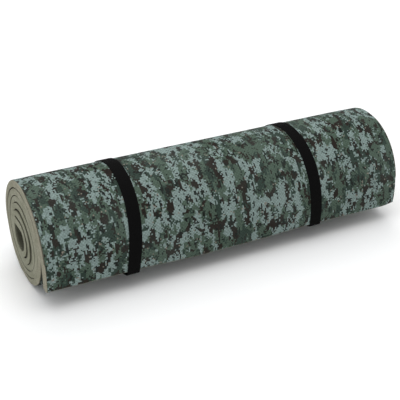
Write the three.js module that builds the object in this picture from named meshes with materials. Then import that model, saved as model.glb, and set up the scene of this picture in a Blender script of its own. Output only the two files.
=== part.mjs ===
// A foam sleeping mat with a printed outer face, rolled up and held by two elastic bands.
// Millimetres. X runs along the roll, the mat's free flap hangs at the front (-Y), +Z is up.
// A section point is written { u, v }: u towards the front, v upwards, from the roll's centre.
import * as THREE from 'three';

// Mat
const MAT_WIDTH = 600;
const FACING_THICKNESS = 0.5;
const WRAP_THICKNESS = 11.5; // facing and foam, where the wraps press on each other
const WRAP_PITCH = 12;
const OUTER_RADIUS = 84.6; // printed face at the front, before the roll's own bulge
const WOUND_ANGLE = THREE.MathUtils.degToRad(1920); // from the flap inwards to the inner end
const STEPS_PER_TURN = 60;
const STEP_ANGLE = (2 * Math.PI) / STEPS_PER_TURN;

// Shape of the roll: it bulges towards the flap and is a little flat where it lies
const FRONT_BULGE = 7;
const BULGE_POWER = 3;
const RESTING_HEIGHT = 73.5; // from the roll's centre down to the flat underneath
const SQUEEZED = 0.8; // share of its thickness that the foam keeps over the flat

// Flap: the last stretch of the mat, which has sprung away from the roll
const LIFT_ANGLE = THREE.MathUtils.degToRad(30);
const FLAP_LIFT = 3;
const FLAP_LENGTH = 50;
const FLAP_BEND_RADIUS = 160;
const FLAP_STEPS = 7;

// Elastic bands
const BAND_WIDTH = 20;
const BAND_THICKNESS = 1.2;
const CLEARANCE = 0.3;
const LAP_STEPS = 3; // facets of the band that lie double where its ends are sewn
const BAND_LEAN = 0.067; // sideways shift for each millimetre of height
const NEAR_BAND_X = -165;
const FAR_BAND_X = 141;

// Sewing thread of the bands
const THREAD_RADIUS = 0.35;
const THREAD_SIDES = 6;
const STITCH_MARGIN = 2;
const STITCH_SWING = 2.5;
const STITCH_COUNT = 12;
const STEPS_PER_STITCH = 4;

const foamFinish = new THREE.MeshStandardMaterial({ color: 0x858673, roughness: 0.9, metalness: 0 });
const printFinish = new THREE.MeshStandardMaterial({ color: 0x55675f, roughness: 0.7, metalness: 0 });
const elasticFinish = new THREE.MeshStandardMaterial({ color: 0x131313, roughness: 0.85, metalness: 0 });
const threadFinish = new THREE.MeshStandardMaterial({ color: 0x1b1b1b, roughness: 0.6, metalness: 0 });

// Bulge of the roll at a point: all of it at the front of the outermost wrap, none at the back.
function bulge(radius, angle) {
  const towardsFront = Math.max(Math.cos(angle), 0);
  return FRONT_BULGE * towardsFront ** 2 * (radius / OUTER_RADIUS) ** BULGE_POWER;
}

// Point of the wound mat: angle winds inwards from the flap, depth goes in from the printed face.
function woundPoint(angle, depth) {
  const lift = FLAP_LIFT * Math.max(1 - angle / LIFT_ANGLE, 0) ** 2;
  const spiral = OUTER_RADIUS - (WRAP_PITCH * angle) / (2 * Math.PI) - depth + lift;
  const radius = spiral + bulge(spiral, angle);
  const v = Math.max(radius * Math.sin(angle), SQUEEZED * depth - RESTING_HEIGHT);
  return { u: radius * Math.cos(angle), v };
}

// Point of the flap: distance runs on from the wound mat along the printed face.
function flapPoint(distance, depth) {
  const start = woundPoint(0, 0);
  const next = woundPoint(STEP_ANGLE / 10, 0);
  const back = woundPoint(0, WRAP_THICKNESS);
  const heading = Math.atan2(start.v - next.v, start.u - next.u);
  const turned = heading - distance / FLAP_BEND_RADIUS;
  const swell = (start.u - back.u) / WRAP_THICKNESS;
  const inwards = FLAP_BEND_RADIUS - depth * swell;
  return {
    u: start.u + FLAP_BEND_RADIUS * Math.sin(heading) - inwards * Math.sin(turned),
    v: start.v - FLAP_BEND_RADIUS * Math.cos(heading) + inwards * Math.cos(turned),
  };
}

// The mat's section at one depth, from the flap's edge to the inner end.
function matLine(depth) {
  const points = [];
  for (let i = FLAP_STEPS; i > 0; i -= 1) {
    points.push(flapPoint((FLAP_LENGTH * i) / FLAP_STEPS, depth));
  }
  for (let angle = 0; angle < WOUND_ANGLE; angle += STEP_ANGLE) {
    points.push(woundPoint(angle, depth));
  }
  return points;
}

// Closed solid of a section outline, centred on X.
function extrudeAlongX(outline, length) {
  const shape = new THREE.Shape(outline.map(({ u, v }) => new THREE.Vector2(-u, v)));
  const geometry = new THREE.ExtrudeGeometry(shape, { depth: length, bevelEnabled: false });
  geometry.translate(0, 0, -length / 2);
  const sectionY = new THREE.Vector3(0, 1, 0);
  const sectionZ = new THREE.Vector3(0, 0, 1);
  const along = new THREE.Vector3(1, 0, 0);
  return geometry.applyMatrix4(new THREE.Matrix4().makeBasis(sectionY, sectionZ, along));
}

// One ply of the mat, between two depths.
function matPly(name, shallow, deep, finish) {
  const outline = [...matLine(shallow), ...matLine(deep).reverse()];
  const ply = new THREE.Mesh(extrudeAlongX(outline, MAT_WIDTH), finish);
  ply.name = name;
  return ply;
}

// Convex loop around a set of section points, counterclockwise in u and v.
function hullOf(points) {
  const sorted = [...points].sort((a, b) => a.u - b.u || a.v - b.v);
  const turn = (a, b, c) => (b.u - a.u) * (c.v - a.v) - (b.v - a.v) * (c.u - a.u);
  const chain = (ordered) => {
    const kept = [];
    for (const point of ordered) {
      while (kept.length > 1 && turn(kept.at(-2), kept.at(-1), point) <= 0) kept.pop();
      kept.push(point);
    }
    return kept.slice(0, -1);
  };
  return [...chain(sorted), ...chain(sorted.reverse())];
}

// The loop's corners, each with the mitre that moves it out by one millimetre.
function mitredLoop(loop) {
  return loop.map((corner, i) => {
    const before = loop.at(i - 1);
    const after = loop[(i + 1) % loop.length];
    const lengthIn = Math.hypot(corner.u - before.u, corner.v - before.v);
    const lengthOut = Math.hypot(after.u - corner.u, after.v - corner.v);
    const inU = (corner.v - before.v) / lengthIn;
    const inV = (before.u - corner.u) / lengthIn;
    const outU = (after.v - corner.v) / lengthOut;
    const outV = (corner.u - after.u) / lengthOut;
    const share = 1 / (1 + inU * outU + inV * outV);
    return { ...corner, mitreU: (inU + outU) * share, mitreV: (inV + outV) * share };
  });
}

function offset(corner, distance) {
  return { u: corner.u + corner.mitreU * distance, v: corner.v + corner.mitreV * distance };
}

// The band's loop starts at the back of the roll, where its two ends are sewn together.
function bandLoop() {
  const printedFace = matLine(0).slice(0, FLAP_STEPS + STEPS_PER_TURN);
  const loop = mitredLoop(hullOf(printedFace));
  const back = loop.reduce((best, corner, i) => (corner.u < loop[best].u ? i : best), 0);
  return [...loop.slice(back), ...loop.slice(0, back)];
}

const loop = bandLoop();
const lapOffset = CLEARANCE + BAND_THICKNESS + CLEARANCE;

// Elastic strip: once around the roll, then up over its own beginning.
function bandGeometry() {
  const around = loop.map((corner) => [corner, CLEARANCE]);
  const lap = loop.slice(0, LAP_STEPS + 1).map((corner) => [corner, lapOffset]);
  const strip = [...around, ...lap];
  const inner = strip.map(([corner, height]) => offset(corner, height));
  const outer = strip.map(([corner, height]) => offset(corner, height + BAND_THICKNESS));
  return extrudeAlongX([...inner, ...outer.reverse()], BAND_WIDTH);
}

// Zigzag of thread across the strip, on the middle facet of the lap.
function stitchGeometry() {
  const height = lapOffset + BAND_THICKNESS + CLEARANCE + THREAD_RADIUS;
  const start = offset(loop[1], height);
  const end = offset(loop[2], height);
  const facet = Math.hypot(end.u - start.u, end.v - start.v);
  const reach = BAND_WIDTH / 2 - STITCH_MARGIN;
  const points = [];
  for (let i = 0; i <= STITCH_COUNT; i += 1) {
    const swing = i % 2 ? STITCH_SWING : -STITCH_SWING;
    const share = 0.5 + swing / facet;
    const u = start.u + (end.u - start.u) * share;
    const v = start.v + (end.v - start.v) * share;
    points.push(new THREE.Vector3(-reach + (2 * reach * i) / STITCH_COUNT, -u, v));
  }
  const corners = Array.from({ length: THREAD_SIDES }, (_, i) => {
    const angle = (2 * Math.PI * i) / THREAD_SIDES;
    return new THREE.Vector2(THREAD_RADIUS * Math.cos(angle), THREAD_RADIUS * Math.sin(angle));
  });
  return new THREE.ExtrudeGeometry(new THREE.Shape(corners), {
    steps: STITCH_COUNT * STEPS_PER_STITCH,
    extrudePath: new THREE.CatmullRomCurve3(points),
  });
}

// A band and its stitching, leaning along the roll.
function elasticBand(name, x, lean) {
  const shear = new THREE.Matrix4().makeShear(0, 0, 0, 0, lean, 0);
  const strip = new THREE.Mesh(bandGeometry().applyMatrix4(shear), elasticFinish);
  const stitching = new THREE.Mesh(stitchGeometry().applyMatrix4(shear), threadFinish);
  strip.name = name;
  stitching.name = `${name}_stitching`;
  const band = new THREE.Group();
  band.add(strip, stitching);
  band.position.x = x;
  return band;
}

const mat = new THREE.Group();
mat.add(
  matPly('foam_core', FACING_THICKNESS, WRAP_THICKNESS, foamFinish),
  matPly('printed_facing', 0, FACING_THICKNESS, printFinish),
  elasticBand('near_band', NEAR_BAND_X, BAND_LEAN),
  elasticBand('far_band', FAR_BAND_X, -BAND_LEAN),
);

// The origin is the middle of the base, on the surface that the roll lies on.
const size = new THREE.Box3().setFromObject(mat, true);
mat.position.set(0, -(size.min.y + size.max.y) / 2, -size.min.z);

const object = new THREE.Group();
object.add(mat);
export default object;
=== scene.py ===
"""A foam sleeping mat with a camouflage print, rolled up and held by two elastic bands.

Metres, in the row frame: X along the roll, -Y towards the front, where the flap hangs, +Z up.
A section point is (u, v): u towards the front, v upwards, from the axis that the mat winds round.
Angles along the mat wind inwards from the flap: 0 front, a quarter turn top, half a turn back.
"""

import math
from collections import namedtuple

import bmesh
import bpy
import numpy as np
from mathutils import Euler, Matrix, Vector


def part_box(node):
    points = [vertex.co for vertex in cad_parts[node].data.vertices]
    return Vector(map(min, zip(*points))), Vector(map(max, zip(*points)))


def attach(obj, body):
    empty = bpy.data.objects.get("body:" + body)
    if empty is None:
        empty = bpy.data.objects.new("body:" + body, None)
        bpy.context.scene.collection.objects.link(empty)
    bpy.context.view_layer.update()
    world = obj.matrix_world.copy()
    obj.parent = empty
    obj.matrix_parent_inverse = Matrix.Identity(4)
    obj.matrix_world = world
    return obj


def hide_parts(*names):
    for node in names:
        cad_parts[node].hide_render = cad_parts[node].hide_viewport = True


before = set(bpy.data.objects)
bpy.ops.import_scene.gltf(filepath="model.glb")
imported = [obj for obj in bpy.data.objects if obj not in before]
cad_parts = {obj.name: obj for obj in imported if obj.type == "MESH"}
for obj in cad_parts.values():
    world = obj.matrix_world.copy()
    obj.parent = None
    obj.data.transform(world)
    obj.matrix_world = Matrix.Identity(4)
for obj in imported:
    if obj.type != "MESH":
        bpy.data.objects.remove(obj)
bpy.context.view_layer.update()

MM = 0.001
TURN = 2 * math.pi

# The roll, as the CAD model has it
OUTER_RADIUS = 84.6 * MM
CAD_PITCH = 12 * MM
FRONT_BULGE = 7 * MM
BULGE_POWER = 3
RESTING_HEIGHT = 73.5 * MM
LIFT_ANGLE = math.radians(30)
FLAP_LIFT = 3 * MM
FLAP_BEND_RADIUS = 160 * MM

# The wraps, which real foam packs less evenly
PITCH = 11.2 * MM
OFF_CENTRE = (3 * MM, -3 * MM)
FOAM_THICKNESS = 10.6 * MM
JOINED_THICKNESS = 15.2 * MM  # the most that a wrap may swell to reach the next one
END_TAPER = 0.6 * MM
END_TAPER_LENGTH = 60 * MM
RIPPLE = 0.14 * MM
# Its waves: share of it, radians over half the roll's length, radians for each one wound, and phase
RIPPLE_WAVES = (
    (0.34, 7.3, 1.3, 0.4),
    (0.26, -11.7, 2.1, 2.0),
    (0.22, 17.9, 3.7, 4.1),
    (0.18, 4.1, -6.3, 1.1),
)

# The flap, with its length at places along the roll, both in mm
FLAP_THICKNESS = 13.6 * MM
FLAP_THICKENS = 30 * MM
FLAP_LENGTHS = {-300: 40.8, -165: 41.8, -60: 46.2, 40: 46.4, 140: 44.2, 280: 46.4, 300: 43.4}

# The straight inner end and the wraps round it. A pair of angles is where a change starts and ends.
STRAIGHT_ANGLE = 5.25 * TURN
STRAIGHT_RUN = 20 * MM
CORE_ROOF = 12 * MM
CORNER_ANGLE = math.radians(125)
SHOULDER = 3.5 * MM
SHOULDER_WIDTH = math.radians(40)
SHOULDER_GROWS = (1.5 * TURN, 4.3 * TURN)
SHOULDER_ENDS = (4.6 * TURN, 5.0 * TURN)
CORE_THINNING = 1.6 * MM
CORE_THINS = (4.5 * TURN, 5.0 * TURN)
CORE_SLIP = 5 * MM
CORE_SLIPS = (2.3 * TURN, STRAIGHT_ANGLE)
FALL_ANGLE = math.radians(35)  # past the corner, where the wrap has fallen in by its whole share
FALL_SHARE = 0.5

# Air between the wraps
NARROWEST_GAP = 0.35 * MM
WIDEST_GAP = 2.1 * MM
NARROWEST_AT = math.radians(35)
BACK_GAP_POWER = 1.4
GAP_WOBBLE = 0.35
CORE_GAP_SHARE = 0.75
CORE_LOOSENS = (2.2 * TURN, 3.8 * TURN)
PRESSED_GAP = 0.03 * MM
PRESSED_MIDDLE = math.radians(8)
PRESSED_COSINES = (0.2, 0.6)  # of the angle from its middle: open below the first, shut above
PRESSED_ENDS = (2.8 * TURN, 3.7 * TURN)

# The printed film and the foam's edges
FILM = 0.35 * MM
FILM_INSET = 1.9 * MM
FILM_END_INSET = 0.9 * MM
FOAM_DEPTH = FILM + 0.05 * MM  # of the foam's outer face, below the printed one
OUTER_BEVEL = 1.8 * MM
INNER_BEVEL = 1.0 * MM
BEVEL_STEPS = (0.3, 0.75)
COVERED_BEVEL = 0.35
COVER_SETS_IN = (0.9 * TURN, 1.1 * TURN)
EDGE_WANDER = 0.21 * MM
WANDER_LENGTHS = (31 * MM, 11.7 * MM)
WANDER_REACH = 12 * MM
ON_BEVEL = 1.01  # distance from the side edge, in bevels or insets, that takes in their own points

# Painted shade on the foam's hidden faces: shares of it in the flap and on the core's wall, and the
# distances from the mat's side edge between which it sets in
FLAP_SHADE = 0.35
CORE_SHADE = 0.68
SHADE_SETS_IN = (0.3 * MM, 4 * MM)

# Mesh steps
ANGLE_STEP = math.radians(3)
FLAP_STEPS = 16
STRAIGHT_STEPS = 8
EDGE_COLUMNS = (4 * MM, 8 * MM, 15 * MM, 25 * MM, 38 * MM)
MIDDLE_INSET = 55 * MM
MIDDLE_COLUMNS = 27

# Elastic bands. A lean is the way along X for each metre up, and a shift is from the CAD place.
BAND_WIDTH = 20 * MM
BAND_THICKNESS = 1.1 * MM
BAND_RIBS = 14
RIB_HEIGHT = 0.14 * MM
NEAR_LEAN = 0.104
NEAR_SHIFT = 0.6 * MM
FAR_LEAN = -0.022
FAR_SHIFT = 2.6 * MM
BAND_AIR = 0.06 * MM
BAND_STEP = 2 * MM
BAND_WANDER = 0.15 * MM
BAND_WANDER_LENGTH = 21 * MM
LAP = 28 * MM
LAP_AIR = 0.15 * MM
LAP_RAMP = 10 * MM
LAP_TOP = 1 * MM

# Sewing thread
THREAD_RADIUS = 0.32 * MM
THREAD_SIDES = 8
STITCH_COUNT = 16
STITCH_STEPS = 8
STITCH_SWING = 2.6 * MM
STITCH_MARGIN = 1.6 * MM
STITCH_DIP = 0.45 * MM
STITCH_DOWN = 13.5 * MM

# The print: square cells, fine or doubled, in inks that each cover the ones before.
# An ink's blotches have a width and a length in mm, a seed, the level that its noise has to pass,
# and a share of cell noise that frays their edges.
CELL = 2.1 * MM
GROUND_INK = "869894"
Ink = namedtuple("Ink", "color cells width length seed level fray")
INKS = (
    Ink("4c5d50", "fine", 20, 44, 3.1, 0.502, 0.07),
    Ink("2c3b33", "doubled", 15, 30, 7.7, 0.565, 0.08),
    Ink("21120c", "fine", 12, 24, 12.9, 0.56, 0.08),
    Ink("0b0c0a", "fine", 6, 18, 21.4, 0.60, 0.10),
    Ink("837c70", "fine", 9, 9, 31.3, 0.715, 0.2),
)
EMBOSS_PITCH = 5.2 * MM
# Painted shade on the print, from where it turns in under the flap on into the roll
UNDER_FLAP = 480 * MM  # along the mat from the flap's edge, where the print turns in under the flap
UNDER_FLAP_FADE = 30 * MM

_, PRINT_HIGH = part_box("printed_facing")
HALF_WIDTH = PRINT_HIGH.x
AXIS_Y = PRINT_HIGH.y - (OUTER_RADIUS - CAD_PITCH / 2)
AXIS_Z = PRINT_HIGH.z - (OUTER_RADIUS - CAD_PITCH / 4)
AXIS = Vector((0, AXIS_Y, AXIS_Z))


# ---------------------------------------------------------------- shape of the mat


def smooth(low, high, value):
    """0 below low, 1 above high, and an even curve between."""
    share = np.clip((value - low) / (high - low), 0, 1)
    return share * share * (3 - 2 * share)


def ripple(x, angle):
    """Slow unevenness of the foam's surface, within RIPPLE of the true one."""
    along = x / HALF_WIDTH
    waves = [
        share * np.sin(lengthways * along + around * angle + phase)
        for share, lengthways, around, phase in RIPPLE_WAVES
    ]
    return RIPPLE * sum(waves)


def flap_length(x):
    """The flap is a little uneven, and shortest at its near end, because the roll is askew."""
    places = MM * np.array(list(FLAP_LENGTHS))
    lengths = MM * np.array(list(FLAP_LENGTHS.values()))
    step = np.searchsorted(places, x).clip(1, len(places) - 1)
    share = smooth(places[step - 1], places[step], x)
    return lengths[step - 1] * (1 - share) + lengths[step] * share


def taper(x):
    """The wraps draw in slightly at both ends of the roll."""
    return END_TAPER * smooth(HALF_WIDTH - END_TAPER_LENGTH, HALF_WIDTH, np.abs(x))


def shoulder(angle):
    """Inner wraps are pushed out where they pass the corner of the straight inner end."""
    past = (angle - CORNER_ANGLE + TURN / 2) % TURN - TURN / 2
    deep = smooth(*SHOULDER_GROWS, angle) * (1 - smooth(*SHOULDER_ENDS, angle))
    return SHOULDER * np.exp(-((past / SHOULDER_WIDTH) ** 2)) * deep


def wrap_radius(angle, x, swell=None):
    """Radius of the printed face about its wrap's centre. A swell replaces its unevenness."""
    lift = FLAP_LIFT * np.maximum(1 - angle / LIFT_ANGLE, 0) ** 2
    spiral = OUTER_RADIUS - PITCH * angle / TURN + lift
    front = np.maximum(np.cos(angle), 0) ** 2
    bulge = FRONT_BULGE * front * (spiral / OUTER_RADIUS) ** BULGE_POWER
    uneven = ripple(x, angle) - taper(x) if swell is None else swell
    return spiral + bulge + shoulder(angle) + uneven


def wrap_point(angle, radius, centred_at):
    """Section point at a radius, about the centre of the wrap at another angle."""
    inwards = PITCH * centred_at / TURN / OUTER_RADIUS
    u = radius * np.cos(angle) + OFF_CENTRE[0] * inwards
    v = radius * np.sin(angle) + OFF_CENTRE[1] * inwards
    return u, v


def printed_point(angle, x, swell=None):
    """Section point of the printed face."""
    u, v = wrap_point(angle, wrap_radius(angle, x, swell), angle)
    return u, np.maximum(v, -RESTING_HEIGHT)


def pressed(angle):
    """How far a wrap's inner face is pressed shut on the next wrap: wholly at the outer front."""
    front = smooth(*PRESSED_COSINES, np.cos(angle - PRESSED_MIDDLE))
    return front * (1 - smooth(*PRESSED_ENDS, angle))


def gap_between_wraps(angle):
    """Air between a wrap's inner face and the next wrap, widest low at the back and in the core."""
    in_core = smooth(*CORE_LOOSENS, angle)
    at_back = (0.5 - 0.5 * np.cos(angle - NARROWEST_AT)) ** BACK_GAP_POWER
    share = at_back * (1 - in_core) + CORE_GAP_SHARE * in_core
    wobble = 1 + GAP_WOBBLE * np.sin(2.7 * angle + 1.0) * np.sin(0.9 * angle)
    open_gap = NARROWEST_GAP + WIDEST_GAP * share * wobble
    return open_gap * (1 - pressed(angle)) + PRESSED_GAP * pressed(angle)


def over_straight_end(angle, x):
    """Radius that clears the straight inner end, falling away beyond its corner."""
    top_u, top_v = printed_point(np.full_like(x, STRAIGHT_ANGLE), x)
    low_v = wrap_point(0.0, 0.0, STRAIGHT_ANGLE)[1]
    height, corner_u = top_v - low_v, top_u - STRAIGHT_RUN
    corner = np.arctan2(height, corner_u)
    past_top = np.clip(angle - (STRAIGHT_ANGLE - TURN), 0, TURN / 3)
    turned = np.minimum(past_top + TURN / 4, corner)
    beyond = smooth(corner, corner + FALL_ANGLE, past_top + TURN / 4)
    return height / np.sin(turned) * (1 - FALL_SHARE * beyond)


def inner_point(angle, x):
    """Section point of the foam's inner face: just off the next wrap, or free in the core."""
    following = angle + TURN
    radius = wrap_radius(angle, x)
    gap = gap_between_wraps(angle)
    on_next = np.maximum(wrap_radius(following, x) + gap, radius - JOINED_THICKNESS)
    thickness = FOAM_THICKNESS - CORE_THINNING * smooth(*CORE_THINS, angle)
    free = np.maximum(radius - thickness, over_straight_end(angle, x) + gap)
    u, v = wrap_point(angle, np.where(following < STRAIGHT_ANGLE, on_next, free), following)
    in_core = angle > STRAIGHT_ANGLE - TURN / 2
    return u, np.where(in_core, np.minimum(v, CORE_ROOF), v)


def wound_section(angle, x):
    """Printed and inner section points of the wound mat, for a column of x."""
    turn = np.full_like(x, angle)
    return np.array(printed_point(turn, x)), np.array(inner_point(turn, x))


def straight_section(run, x):
    """Section points of the mat's inner end, which stays straight along the core's roof."""
    printed, inner = wound_section(STRAIGHT_ANGLE, x)
    back = np.array([[-run], [0.0]])
    return printed + back, inner + back


def flap_section(distance, x):
    """Section points of the flap, at a distance down from where it leaves the roll."""
    start = np.array(printed_point(np.zeros_like(x), x))
    ahead = np.array(printed_point(np.full_like(x, ANGLE_STEP / 30), x))
    heading = np.arctan2(start[1] - ahead[1], start[0] - ahead[0])
    turned = heading - distance / FLAP_BEND_RADIUS
    centre = start + FLAP_BEND_RADIUS * np.array([np.sin(heading), -np.cos(heading)])
    outwards = np.array([-np.sin(turned), np.cos(turned)])
    joined = np.array(inner_point(np.zeros_like(x), x))
    thickness = np.hypot(*(start - joined))
    settled = smooth(0, FLAP_THICKENS, distance)
    thickness = thickness * (1 - settled) + FLAP_THICKNESS * settled
    return centre + FLAP_BEND_RADIUS * outwards, centre + (FLAP_BEND_RADIUS - thickness) * outwards


def mat_sections(x, end_inset=0.0):
    """Angle, printed points and inner points at each step from the flap's edge to the inner end."""
    sections = []
    for share in np.linspace(1, 0, FLAP_STEPS, endpoint=False):
        sections.append((0.0, *flap_section(share * (flap_length(x) - end_inset), x)))
    for angle in np.arange(0, STRAIGHT_ANGLE, ANGLE_STEP):
        sections.append((angle, *wound_section(angle, x)))
    for share in np.linspace(0, 1, STRAIGHT_STEPS):
        sections.append((STRAIGHT_ANGLE, *straight_section(share * (STRAIGHT_RUN - end_inset), x)))
    return sections


def placed(x, section_points, angle):
    """Row-frame points of section points, with the core slipped out towards the near end."""
    u, v = section_points
    return np.stack([x - CORE_SLIP * smooth(*CORE_SLIPS, angle), AXIS_Y - u, AXIS_Z + v], axis=-1)


# ---------------------------------------------------------------- meshes


def end_columns(inset):
    """Columns along the roll, closer together near its ends."""
    from_end = [inset, *EDGE_COLUMNS]
    middle_reach = HALF_WIDTH - MIDDLE_INSET
    middle = np.linspace(-middle_reach, middle_reach, MIDDLE_COLUMNS)
    low = [-HALF_WIDTH + step for step in from_end]
    high = [HALF_WIDTH - step for step in reversed(from_end)]
    return np.array([*low, *middle, *high])


def mesh_object(name, points, faces, sharp=math.radians(50)):
    """An object of these points and faces, smooth up to the sharp angle.

    A body's faces are turned outwards, and a lone face keeps the side that it has.
    """
    mesh = bpy.data.meshes.new(name)
    mesh.from_pydata([tuple(point) for point in points], [], faces)
    mesh.validate()
    if len(faces) > 1:
        body = bmesh.new()
        body.from_mesh(mesh)
        bmesh.ops.recalc_face_normals(body, faces=body.faces)
        body.to_mesh(mesh)
        body.free()
    mesh.shade_smooth()
    mesh.set_sharp_from_angle(angle=sharp)
    made = bpy.data.objects.new(name, mesh)
    bpy.context.scene.collection.objects.link(made)
    return made


def loft(rings):
    """Points, and the faces between one ring and the next, of a body open at both ends."""
    size = len(rings[0])
    points = np.concatenate(rings)
    faces = []
    for low in range(0, (len(rings) - 1) * size, size):
        high = low + size
        for corner in range(size):
            following = (corner + 1) % size
            faces.append((low + corner, high + corner, high + following, low + following))
    return points, faces


def cap_polygons(faces, size, count):
    """Closes both ends of a loft of count rings with one polygon each."""
    last = (count - 1) * size
    faces.append(tuple(range(size)))
    faces.append(tuple(range(last, last + size))[::-1])


def cap_strips(faces, first, across, side=0):
    """Closes a ring of two long faces and two sides: quads across, and a polygon at each side."""
    for column in range(across - 1):
        top = first + column
        bottom = first + across + side + (across - 1 - column)
        faces.append((top, top + 1, bottom - 1, bottom))
    if side:
        high = [first + across - 1 + step for step in range(side + 2)]
        low = [first + 2 * across + side - 1 + step for step in range(side + 1)] + [first]
        faces.extend([tuple(high), tuple(low)])


def set_uv(made, uv_of_vertex):
    """Gives the mesh a UV layer from one pair of metres for each vertex."""
    layer = made.data.uv_layers.new(name="UVMap")
    index = np.zeros(len(made.data.loops), np.int32)
    made.data.loops.foreach_get("vertex_index", index)
    layer.data.foreach_set("uv", uv_of_vertex[index].astype(np.float32).ravel())


def arc_lengths(sections, middle):
    """Distance along the printed face to each section, measured on one column."""
    faces = np.array([printed[:, middle] for _, printed, _ in sections])
    steps = np.hypot(*np.diff(faces, axis=0).T)
    return np.concatenate([[0], np.cumsum(steps)])


def below(printed, inner, depth):
    """Points a depth below the printed face, towards the inner one."""
    through = inner - printed
    return printed + through / np.hypot(*through) * depth


def foam_ring(columns):
    """Once round the foam's cut along X: x, share of the thickness, and points in each side."""
    edge, thick = HALF_WIDTH, FOAM_THICKNESS
    side = [(edge - OUTER_BEVEL * (1 - step), OUTER_BEVEL * step**2) for step in BEVEL_STEPS]
    depths = [OUTER_BEVEL, 0.25 * thick, 0.5 * thick, 0.75 * thick, thick - INNER_BEVEL]
    side += [(edge, depth) for depth in depths]
    side += [(edge - INNER_BEVEL * 0.3, thick - INNER_BEVEL * 0.3)]
    high_side = np.array(side)
    low_side = high_side[::-1] * [-1, 1]
    top = np.stack([columns, np.zeros_like(columns)], axis=1)
    bottom = np.stack([columns[::-1], np.full_like(columns, thick)], axis=1)
    ring = np.concatenate([top, high_side, bottom, low_side])
    return ring[:, 0], ring[:, 1] / thick, len(side)


def edge_sharpness(angle):
    """Share of its full bevel that an edge keeps: all outside, little where wraps cover it."""
    covered = smooth(*COVER_SETS_IN, angle)
    return 1 - (1 - COVERED_BEVEL) * covered


def edge_wander(length):
    """How far the foam's side edges stray outwards, at a distance along the mat."""
    long, short = WANDER_LENGTHS
    return EDGE_WANDER * (np.sin(length / long) + 0.6 * np.sin(length / short + 1))


def foam_points(x, share, section, length):
    """Row-frame points of the foam once round at one section, its edges rounded and a bit wavy."""
    angle, printed, inner = section
    shut = pressed(angle) * float(angle > 0)
    shut_above = pressed(angle - TURN) * float(angle > TURN)
    on_bevel = np.abs(x) > HALF_WIDTH - OUTER_BEVEL * ON_BEVEL
    skin = below(printed, inner, FOAM_DEPTH * (1 - 0.9 * shut_above * on_bevel))
    sharpness = edge_sharpness(angle) * (1 - 0.7 * max(shut, shut_above))
    sunk = np.where(share <= OUTER_BEVEL / FOAM_THICKNESS, share * sharpness, share)
    at_inner_edge = share >= 1 - INNER_BEVEL / FOAM_THICKNESS
    sunk = np.where(at_inner_edge, 1 - (1 - share) * sharpness, sunk)
    near_edge = smooth(HALF_WIDTH - WANDER_REACH, HALF_WIDTH, np.abs(x)) * np.sign(x)
    narrowed = np.sign(x) * (HALF_WIDTH - (HALF_WIDTH - np.abs(x)) * sharpness)
    rim = np.where(on_bevel, narrowed, x)
    return placed(rim + edge_wander(length) * near_edge, skin + (inner - skin) * sunk, angle)


def shade_hidden_foam(foam, x, share, angles):
    """Painted shade on the foam's faces between the wraps, less in flap and core: how dark each
    point is.
    """
    depth_in = smooth(*SHADE_SETS_IN, HALF_WIDTH - np.abs(x)) ** 0.6
    on_a_face = (share < 0.01) | (share > 0.99)
    wound = np.where(angles > 0, 1.0, FLAP_SHADE)
    covered = np.outer(wound, depth_in * on_a_face)
    core_wall = np.outer(angles > STRAIGHT_ANGLE - TURN, share > 0.99)
    covered = np.where(core_wall, CORE_SHADE * covered, covered).ravel()
    # The attribute 'covered' carries this painted shade to the foam's material
    layer = foam.data.attributes.new("covered", "FLOAT", "POINT")
    layer.data.foreach_set("value", covered.astype(np.float32))


def build_foam():
    """The foam: one closed body, wound from the flap's edge to the core, with round edges."""
    columns = end_columns(OUTER_BEVEL)
    across = len(columns)
    x, share, side = foam_ring(columns)
    sections = mat_sections(x)
    lengths = arc_lengths(sections, across // 2)
    rings = [foam_points(x, share, *pair) for pair in zip(sections, lengths)]
    points, faces = loft(rings)
    cap_strips(faces, 0, across, side)
    cap_strips(faces, (len(rings) - 1) * len(x), across, side)
    foam = mesh_object("mat_foam", points, faces)
    shade_hidden_foam(foam, x, share, np.array([angle for angle, _, _ in sections]))
    return foam


def build_film():
    """The printed film on the foam's outer face, short of its edges, and shorter where covered."""
    columns = end_columns(FILM_INSET)
    across = len(columns)
    x = np.concatenate([columns, columns[::-1]])
    to_edge = HALF_WIDTH - np.abs(x)
    sections = mat_sections(x, FILM_END_INSET)
    rings = []
    for angle, printed, inner in sections:
        under = below(printed, inner, FILM)
        point = np.concatenate([printed[:, :across], under[:, across:]], axis=1)
        covered = smooth(*COVER_SETS_IN, angle)
        trimmed = np.where(to_edge < ON_BEVEL * FILM_INSET, to_edge * (1 + covered), to_edge)
        rings.append(placed(np.sign(x) * (HALF_WIDTH - trimmed), point, angle))
    points, faces = loft(rings)
    cap_strips(faces, 0, across)
    cap_strips(faces, (len(rings) - 1) * len(x), across)
    film = mesh_object("mat_print", points, faces)
    along = np.tile(x + HALF_WIDTH, len(rings))
    around = np.repeat(arc_lengths(sections, across // 2), len(x))
    set_uv(film, np.stack([along, around], axis=1))
    return film


# ---------------------------------------------------------------- elastic bands


def convex_hull(points):
    """Corners of the convex hull of section points, counterclockwise in u and v."""
    ordered = sorted(map(tuple, points))

    def chain(sequence):
        kept = []
        for point in sequence:
            while len(kept) > 1:
                (au, av), (bu, bv) = kept[-2:]
                if (bu - au) * (point[1] - av) - (bv - av) * (point[0] - au) > 0:
                    break
                kept.pop()
            kept.append(point)
        return kept[:-1]

    return np.array(chain(ordered) + chain(ordered[::-1]))


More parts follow.
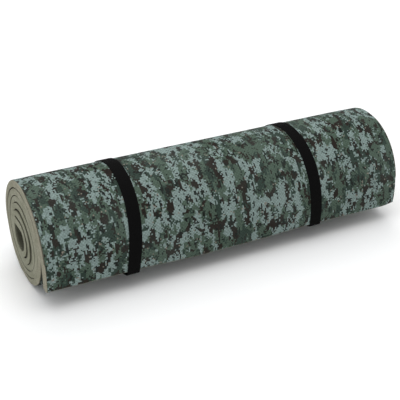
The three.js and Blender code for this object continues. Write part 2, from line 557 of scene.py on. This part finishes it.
def rounded(hull):
    """Points and normals round a hull, a little way off it, with round turns at its corners."""
    edges = np.roll(hull, -1, axis=0) - hull
    normals = np.stack([edges[:, 1], -edges[:, 0]], axis=1) / np.hypot(*edges.T)[:, None]
    around = []
    for corner, before, after in zip(hull, np.roll(normals, 1, axis=0), normals):
        turn = math.atan2(before[0] * after[1] - before[1] * after[0], before @ after)
        heading = math.atan2(before[1], before[0])
        for share in np.linspace(0, 1, max(2, int(turn / ANGLE_STEP) + 2)):
            normal = np.array([math.cos(heading + turn * share), math.sin(heading + turn * share)])
            around.append(np.concatenate([corner + normal * BAND_AIR, normal]))
    return np.array(around)


def eased(normals):
    """Normals of a closed line, averaged with their neighbours and made unit length again."""
    for _ in range(3):
        ring = normals[:-1]
        ring = (np.roll(ring, 1, axis=0) + 2 * ring + np.roll(ring, -1, axis=0)) / 4
        normals = np.concatenate([ring, ring[:1]])
    return normals / np.hypot(*normals.T)[:, None]


def band_line():
    """Where a band's inner face runs: even points and normals from the back down, and its length.

    It clears the longest part of the flap, because the bands slide along the roll.
    """
    column = np.array([0.0])
    longest_flap = max(FLAP_LENGTHS.values()) * MM
    angles = np.arange(0, TURN, ANGLE_STEP / 3)
    outline = [np.array(printed_point(angle, 0.0, RIPPLE)) for angle in angles]
    for share in np.linspace(0.05, 1, 20):
        printed, _ = flap_section(share * longest_flap, column)
        outline.append(printed[:, 0] + [RIPPLE, 0])
    around = rounded(convex_hull(outline))
    back = np.argmin(np.hypot(around[:, 0] - around[:, 0].min(), around[:, 1] - LAP_TOP))
    around = np.roll(around, -back, axis=0)
    around = np.concatenate([around, around[:1]])
    gone = np.concatenate([[0], np.cumsum(np.hypot(*np.diff(around[:, :2], axis=0).T))])
    even = np.linspace(0, gone[-1], round(gone[-1] / BAND_STEP) + 1)
    line = np.stack([np.interp(even, gone, around[:, axis]) for axis in range(4)], axis=1)
    line[:, 2:] = eased(line[:, 2:])
    return line, gone[-1]


class Band:
    """The way of one band round the roll: at its CAD place but for a shift, and leaning along X."""

    def __init__(self, node, lean, shift):
        low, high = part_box(node)
        self.middle = (low.x + high.x) / 2 + shift
        self.lean = lean
        self.line, self.length = band_line()

    def point(self, along, across, height):
        """Row-frame point of the strip: along it, across it and a height above its line."""
        place = along % self.length / self.length * (len(self.line) - 1)
        steps = np.arange(len(self.line))
        u, v, normal_u, normal_v = (np.interp(place, steps, row) for row in self.line.T)
        u, v = u + normal_u * height, v + normal_v * height
        return np.stack([self.middle + across + self.lean * v, AXIS_Y - u, AXIS_Z + v], axis=-1)

    def lap_height(self, along):
        """How far the strip stands off its line where it rides over its own beginning."""
        climb = smooth(self.length - LAP_RAMP, self.length - 1 * MM, along)
        return (BAND_THICKNESS + LAP_AIR) * climb


def band_profile():
    """Outline of the elastic's cross-section: ribs outside, round edges, a plain inner face."""
    reach = BAND_WIDTH / 2 - BAND_THICKNESS / 2
    across = np.linspace(-reach, reach, 4 * BAND_RIBS + 1)
    ribs = np.abs(np.cos(np.linspace(0, math.pi * BAND_RIBS, len(across))))
    outer = np.stack([across, BAND_THICKNESS - RIB_HEIGHT * (1 - ribs)], axis=1)
    turns = np.radians([60, 25, -25, -60])
    middle = BAND_THICKNESS / 2
    high = np.stack([reach + middle * np.cos(turns), middle + middle * np.sin(turns)], axis=1)
    inner = np.stack([np.linspace(reach, -reach, 9), np.zeros(9)], axis=1)
    low = high[::-1] * [-1, 1]
    return np.concatenate([outer, high, inner, low])


def build_strip(name, band):
    """The elastic strip, once round the roll and over its own beginning."""
    profile = band_profile()
    steps = np.arange(0, band.length + LAP, BAND_STEP)
    rings = []
    for along in steps:
        height = profile[:, 1] + band.lap_height(along)
        across = profile[:, 0] + BAND_WANDER * math.sin(along / BAND_WANDER_LENGTH)
        rings.append(band.point(along, across, height))
    points, faces = loft(rings)
    cap_polygons(faces, len(profile), len(rings))
    strip = mesh_object(name, points, faces, sharp=math.radians(60))
    across = np.tile(profile[:, 0], len(rings))
    set_uv(strip, np.stack([across, np.repeat(steps, len(profile))], axis=1))
    return strip


def build_stitching(name, band):
    """Zigzag stitching across the strip's lap, dipping into the elastic at each turn."""
    reach = BAND_WIDTH / 2 - STITCH_MARGIN
    spots = np.linspace(0, STITCH_COUNT, STITCH_STEPS * STITCH_COUNT + 1)
    zigzag = np.abs((spots + 1) % 2 - 1) * 2 - 1
    from_turn = np.abs(spots - np.round(spots))
    over = 2 * BAND_THICKNESS + LAP_AIR + THREAD_RADIUS * 0.7
    heights = over - STITCH_DIP * (1 - np.minimum(from_turn * 5, 1))
    across = np.linspace(-reach, reach, len(spots))
    along = band.length + STITCH_DOWN + STITCH_SWING * zigzag
    path = np.array([band.point(*place) for place in zip(along, across, heights)])
    return build_tube(name, path, THREAD_RADIUS)


def build_tube(name, path, radius):
    """A closed tube along a path that stays on the roll's back, and so never runs along Y."""
    ahead = np.gradient(path, axis=0)
    ahead /= np.linalg.norm(ahead, axis=1)[:, None]
    outwards = np.array([0.0, 1.0, 0.0])
    side = np.cross(ahead, outwards)
    side /= np.linalg.norm(side, axis=1)[:, None]
    up = np.cross(side, ahead)
    turns = np.arange(THREAD_SIDES) * TURN / THREAD_SIDES
    rings = [
        centre + radius * (np.outer(np.cos(turns), a) + np.outer(np.sin(turns), b))
        for centre, a, b in zip(path, side, up)
    ]
    points, faces = loft(rings)
    cap_polygons(faces, THREAD_SIDES, len(rings))
    return mesh_object(name, points, faces)


# ---------------------------------------------------------------- materials


class Surface:
    """A node material under construction."""

    def __init__(self, name, roughness, gloss=0.2):
        self.material = bpy.data.materials.new(name)
        self.material.use_nodes = True
        self.tree = self.material.node_tree
        self.shader = self.tree.nodes["Principled BSDF"]
        self.shader.inputs["Roughness"].default_value = roughness
        self.shader.inputs["Specular IOR Level"].default_value = gloss
        self.places = self.tree.nodes.new("ShaderNodeTexCoord")

    def add(self, kind, inputs, **settings):
        """A node with its settings, and each input set to a value or linked to a socket."""
        node = self.tree.nodes.new(kind)
        for setting, value in settings.items():
            setattr(node, setting, value)
        for socket, value in inputs.items():
            if isinstance(value, bpy.types.NodeSocket):
                self.tree.links.new(value, node.inputs[socket])
            else:
                node.inputs[socket].default_value = value
        return node

    def math(self, operation, *values):
        """Result of a math node."""
        return self.add("ShaderNodeMath", dict(enumerate(values)), operation=operation).outputs[0]

    def vector(self, operation, *values):
        """Vector result of a vector math node."""
        node = self.add("ShaderNodeVectorMath", dict(enumerate(values)), operation=operation)
        return node.outputs[0]

    def split(self, place):
        """The first two coordinates of a place."""
        node = self.add("ShaderNodeSeparateXYZ", {"Vector": place})
        return node.outputs["X"], node.outputs["Y"]

    def ramp(self, value, start, end, top):
        """0 where the value is at its start, rising to the top at its end."""
        inputs = {"Value": value, "From Min": start, "From Max": end, "To Max": top}
        return self.add("ShaderNodeMapRange", inputs).outputs["Result"]

    def noise(self, place, scale, detail=2.0, roughness=0.5):
        """Soft noise, between 0 and 1."""
        inputs = {"Vector": place, "Scale": scale, "Detail": detail, "Roughness": roughness}
        return self.add("ShaderNodeTexNoise", inputs).outputs["Fac"]

    def cell_noise(self, place):
        """A random value between 0 and 1 for each place."""
        return self.add("ShaderNodeTexWhiteNoise", {"Vector": place}).outputs["Value"]

    def pores(self, place, scale):
        """Distance to the nearest of many scattered points."""
        inputs = {"Vector": place, "Scale": scale, "Randomness": 1.0}
        return self.add("ShaderNodeTexVoronoi", inputs).outputs["Distance"]

    def mix(self, share, first, second):
        """Blend of two colours, given as sockets or as sRGB hex strings."""
        node = self.add("ShaderNodeMix", {}, data_type="RGBA")
        for index, value in ((0, share), (6, first), (7, second)):
            if isinstance(value, str):
                value = linear(value)
            if isinstance(value, bpy.types.NodeSocket):
                self.tree.links.new(value, node.inputs[index])
            else:
                node.inputs[index].default_value = value
        return node.outputs[2]

    def finish(self, color, height, depth):
        """Links the colour, and a bump from a height between 0 and 1 that stands for a depth."""
        bump = self.add("ShaderNodeBump", {"Height": height, "Distance": depth, "Strength": 1.0})
        self.tree.links.new(color, self.shader.inputs["Base Color"])
        self.tree.links.new(bump.outputs["Normal"], self.shader.inputs["Normal"])
        return self.material


def linear(color):
    """Linear RGBA of an sRGB hex string."""
    parts = [int(color[start : start + 2], 16) / 255 for start in (0, 2, 4)]
    return (*[p / 12.92 if p <= 0.04045 else ((p + 0.055) / 1.055) ** 2.4 for p in parts], 1)


def blotches(surface, cells, fine, ink):
    """Mask of one ink's blotches, with frayed pixel edges."""
    stretched = surface.vector("MULTIPLY", cells, (1 / (ink.width * MM), 1 / (ink.length * MM), 1))
    shifted = surface.vector("ADD", stretched, (ink.seed, 2.3 * ink.seed, 0.7 * ink.seed))
    blotch = surface.noise(shifted, 1.0, 3.0, 0.62)
    grain = surface.cell_noise(surface.vector("ADD", fine, (0.113 * ink.seed, 0.071 * ink.seed, 0)))
    frayed = surface.math("MULTIPLY_ADD", grain, ink.fray, blotch)
    return surface.math("GREATER_THAN", frayed, ink.level + ink.fray / 2)


def embossing(surface, along, around):
    """Height of the diamonds between crossed diagonal grooves, 0 in the grooves."""
    ridges = []
    for operation in ("ADD", "SUBTRACT"):
        diagonal = surface.math(operation, along, around)
        turns = surface.math("MULTIPLY", diagonal, math.pi / EMBOSS_PITCH)
        ridges.append(surface.math("ABSOLUTE", surface.math("SINE", turns)))
    return surface.math("POWER", surface.math("MINIMUM", *ridges), 0.6)


def camouflage_material():
    """Pixelated camouflage, embossed with fine crossed diagonals, with painted shade in its grooves
    and inside the roll.
    """
    surface = Surface("camouflage_print", roughness=0.65, gloss=0.05)
    place = surface.places.outputs["UV"]
    fine = surface.vector("SNAP", place, (CELL, CELL, CELL))
    doubled = surface.vector("SNAP", place, (2 * CELL, 2 * CELL, 2 * CELL))
    cells = {"fine": fine, "doubled": doubled}

    color = GROUND_INK
    for ink in INKS:
        color = surface.mix(blotches(surface, cells[ink.cells], fine, ink), color, ink.color)
    uneven_ink = surface.math("MULTIPLY", surface.cell_noise(fine), 0.3)
    color = surface.mix(uneven_ink, color, "1d231d")
    worn = surface.math("MULTIPLY_ADD", surface.noise(place, 9.0, 4.0, 0.6), 0.5, 0.75)
    color = surface.mix(surface.math("MULTIPLY_ADD", worn, 0.6, -0.54), color, "8b9a94")

    along, around = surface.split(place)
    diamonds = embossing(surface, along, around)
    # Painted shade: the print's colour is darkened in the emboss grooves, besides their bump
    grooves = surface.math("SUBTRACT", 1.0, surface.math("MULTIPLY_ADD", diamonds, 0.62, 0.56))
    # Painted shade: the print darkens where it turns in under the flap and stays dark inside the
    # roll
    painted_shade_rolled_in = surface.ramp(around, UNDER_FLAP, UNDER_FLAP + UNDER_FLAP_FADE, 0.85)
    color = surface.mix(surface.math("MAXIMUM", grooves, painted_shade_rolled_in), color, "10130f")
    height = surface.math("MULTIPLY_ADD", surface.noise(place, 900.0), 0.25, diamonds)
    return surface.finish(color, height, 0.22 * MM)


def foam_material():
    """Closed-cell foam: small pores, mottling, a warmer tint towards the roll's outside, and painted
    shade where hidden.
    """
    surface = Surface("foam", roughness=0.95, gloss=0.1)
    place = surface.places.outputs["Object"]
    mottle = surface.noise(place, 60.0, 5.0, 0.6)
    speckle = surface.noise(place, 430.0, 4.0, 0.8)

    centred = surface.vector("SUBTRACT", place, tuple(AXIS))
    flat = surface.vector("MULTIPLY", centred, (0, 1, 1))
    out = surface.add("ShaderNodeVectorMath", {0: flat}, operation="LENGTH").outputs["Value"]
    outer = surface.ramp(out, 0.05, 0.09, 0.6)
    warm = surface.math("MULTIPLY", outer, surface.math("MULTIPLY_ADD", mottle, 1.6, -0.2))

    color = surface.mix(mottle, "6f705b", "a4a494")
    color = surface.mix(warm, color, "9b9183")
    pits = surface.math("MULTIPLY", surface.math("GREATER_THAN", speckle, 0.57), 0.42)
    color = surface.mix(pits, color, "4b4c3c")
    # Painted shade: the foam's faces hidden between the wraps, in the flap and on the core's wall,
    # darken
    covered = surface.add("ShaderNodeAttribute", {}, attribute_name="covered").outputs["Fac"]
    color = surface.mix(covered, color, "1e1b12")
    fine_pores, wide_pores = surface.pores(place, 950.0), surface.pores(place, 420.0)
    height = surface.math("MULTIPLY_ADD", wide_pores, 0.7, fine_pores)
    height = surface.math("MULTIPLY_ADD", speckle, 0.5, height)
    return surface.finish(color, height, 0.35 * MM)


def elastic_material():
    """Black woven elastic: ribs along it are in the mesh, and fine picks cross them."""
    surface = Surface("elastic", roughness=0.85, gloss=0.04)
    place = surface.places.outputs["UV"]
    across, along = surface.split(place)
    rib = surface.math("FLOOR", surface.math("MULTIPLY", across, BAND_RIBS / BAND_WIDTH))
    offset = surface.math("MULTIPLY", rib, 1.57)
    pick = surface.math("MULTIPLY", along, math.pi / (0.9 * MM))
    picks = surface.math("ABSOLUTE", surface.math("SINE", surface.math("ADD", pick, offset)))
    fuzz = surface.noise(place, 1800.0, 3.0, 0.7)
    height = surface.math("MULTIPLY_ADD", fuzz, 0.5, picks)
    color = surface.mix(fuzz, "070707", "0e0e0e")
    color = surface.mix(surface.math("MULTIPLY", picks, 0.25), color, "161616")
    return surface.finish(color, height, 0.16 * MM)


def thread_material():
    """Twisted polyester thread, a little glossier than the elastic."""
    surface = Surface("thread", roughness=0.5, gloss=0.25)
    place = surface.places.outputs["Object"]
    inputs = {"Vector": place, "Scale": 900.0, "Distortion": 1.5, "Detail": 1.0}
    twist = surface.add("ShaderNodeTexWave", inputs, bands_direction="DIAGONAL").outputs["Fac"]
    color = surface.mix(twist, "151516", "2c2c2e")
    return surface.finish(color, twist, 0.08 * MM)


# ---------------------------------------------------------------- studio


def area_light(name, place, target, size, power):
    """A round lamp of this width and power, turned to its target."""
    light = bpy.data.lights.new(name, "AREA")
    light.shape = "DISK"
    light.size = size
    light.energy = power
    lamp = bpy.data.objects.new(name, light)
    lamp.location = place
    lamp.rotation_euler = (Vector(target) - Vector(place)).to_track_quat("-Z", "Y").to_euler()
    bpy.context.scene.collection.objects.link(lamp)


def build_studio():
    """A pale floor and plain soft light: from above, from the near end, and on the floor behind."""
    reach = 6.0
    corners = [(-reach, -reach, 0), (reach, -reach, 0), (reach, reach, 0), (-reach, reach, 0)]
    floor = mesh_object("floor", corners, [(0, 1, 2, 3)])
    paper = Surface("paper", roughness=0.95)
    grain = paper.noise(paper.places.outputs["Object"], 3.0)
    floor.data.materials.append(paper.finish(paper.mix(grain, "fafafa", "fcfcfc"), grain, 0.01 * MM))
    world = bpy.data.worlds.new("studio")
    world.use_nodes = True
    background = world.node_tree.nodes["Background"]
    background.inputs["Color"].default_value = (0.98, 0.99, 1.0, 1)
    background.inputs["Strength"].default_value = 0.60
    bpy.context.scene.world = world
    middle = (0, 0, 0.07)
    area_light("key", (-0.3, -0.25, 2.4), middle, 2.4, 31)
    area_light("fill", (-2.2, -0.6, 1.3), middle, 1.5, 4)
    area_light("backdrop", (0.9, 2.2, 2.4), (0.9, 1.9, 0), 2.6, 34)
    bpy.context.scene.view_settings.view_transform = "Standard"


def build_camera():
    """Looks down on the roll from the front, a little towards its near end."""
    azimuth, elevation, roll = math.radians(-28.344), math.radians(30.354), math.radians(1.696)
    distance = 1.4460
    aim = AXIS + Vector((-0.0166, -0.0110, -0.0067))
    back = Vector((
        math.sin(azimuth) * math.cos(elevation),
        -math.cos(azimuth) * math.cos(elevation),
        math.sin(elevation),
    ))
    lens = bpy.data.cameras.new("camera")
    lens.lens = 83.346
    lens.sensor_width = 36
    camera = bpy.data.objects.new("camera", lens)
    camera.location = aim + distance * back
    level = Euler((math.pi / 2 - elevation, 0, azimuth)).to_matrix()
    camera.rotation_euler = (level @ Matrix.Rotation(roll, 3, "Z")).to_euler()
    bpy.context.scene.collection.objects.link(camera)
    bpy.context.scene.camera = camera


# ---------------------------------------------------------------- the object


def add_piece(piece, material, body, node):
    """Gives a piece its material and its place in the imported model."""
    piece.data.materials.append(material)
    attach(piece, body)
    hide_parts(node)


def main():
    """Sets up the studio, and builds the mat and its two bands."""
    build_camera()
    build_studio()

    foam = build_foam()
    add_piece(foam, foam_material(), "mat", "foam_core")

    film = build_film()
    add_piece(film, camouflage_material(), "mat", "printed_facing")

    elastic, thread = elastic_material(), thread_material()
    for side, lean, shift in (("near", NEAR_LEAN, NEAR_SHIFT), ("far", FAR_LEAN, FAR_SHIFT)):
        node = side + "_band"
        band = Band(node, lean, shift)
        strip = build_strip(side + "_elastic", band)
        add_piece(strip, elastic, node, node)
        stitching = build_stitching(side + "_elastic_stitching", band)
        add_piece(stitching, thread, node, node + "_stitching")


main()
